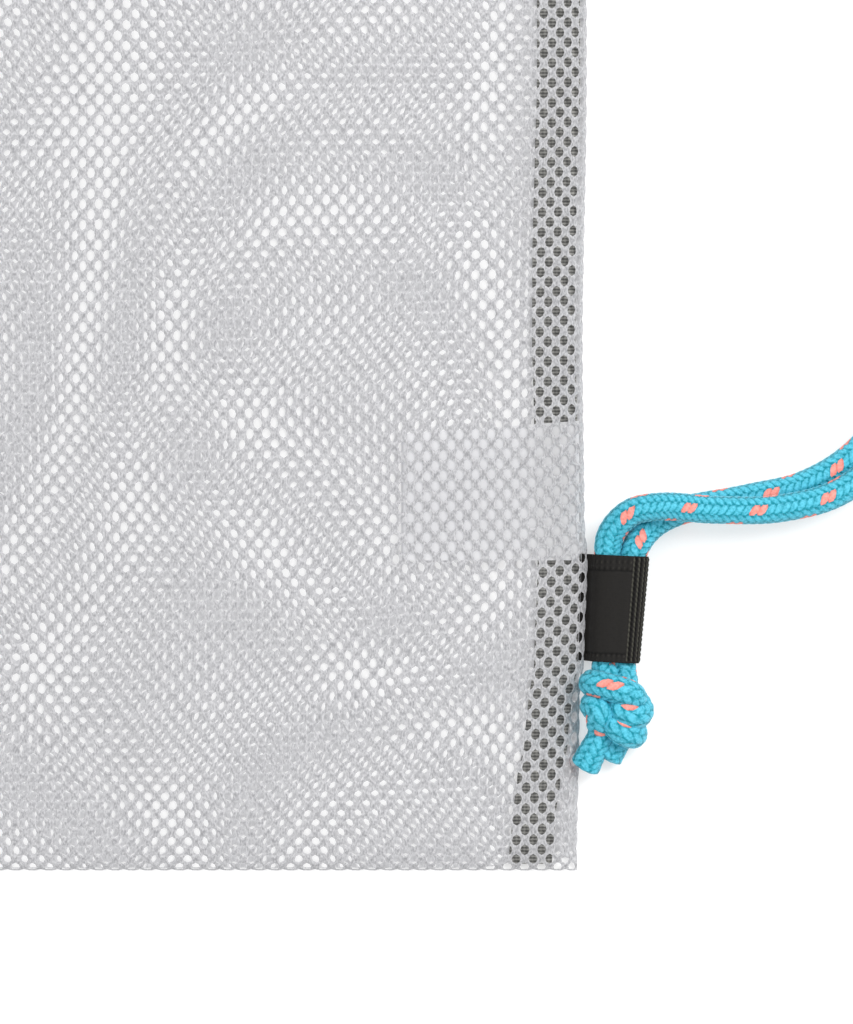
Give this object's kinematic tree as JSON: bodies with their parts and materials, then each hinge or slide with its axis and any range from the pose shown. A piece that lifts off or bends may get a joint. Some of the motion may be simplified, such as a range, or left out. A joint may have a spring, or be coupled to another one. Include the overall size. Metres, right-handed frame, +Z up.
{
  "type": "mesh drawstring bag",
  "caption": "Flat mesh drawstring knapsack with open hem channels at the mouth and a braided draw cord down each side, held by a ribbon tab and a knot near the lower corner.",
  "frame": {"origin": "on the surface the bag lies on, under the middle of the bag without its cords", "axes": "+X across the bag, +Y from the bottom fold to the mouth, +Z up from the surface"},
  "size_m": [0.532, 0.45, 0.022],
  "materials": {
    "mesh_cloth": "light grey knitted mesh, matt",
    "binding_tape": "dark grey woven tape, matt",
    "label_cloth": "white satin label, blank",
    "tab_ribbon": "black ribbon, satin face with ribbed selvedges",
    "cord_braid": "bright blue braid with coral flecks"
  },
  "bodies": {
    "root": {"back_panel": "mesh_cloth", "front_panel": "mesh_cloth", "casing_back": "mesh_cloth", "casing_front": "mesh_cloth", "binding_right": "binding_tape", "binding_left": "binding_tape", "care_label": "label_cloth", "cord_tab_right": "tab_ribbon", "cord_tab_left": "tab_ribbon", "cord_right": "cord_braid", "cord_left": "cord_braid", "knot_right": "cord_braid", "knot_left": "cord_braid"}
  },
  "joints": []
}
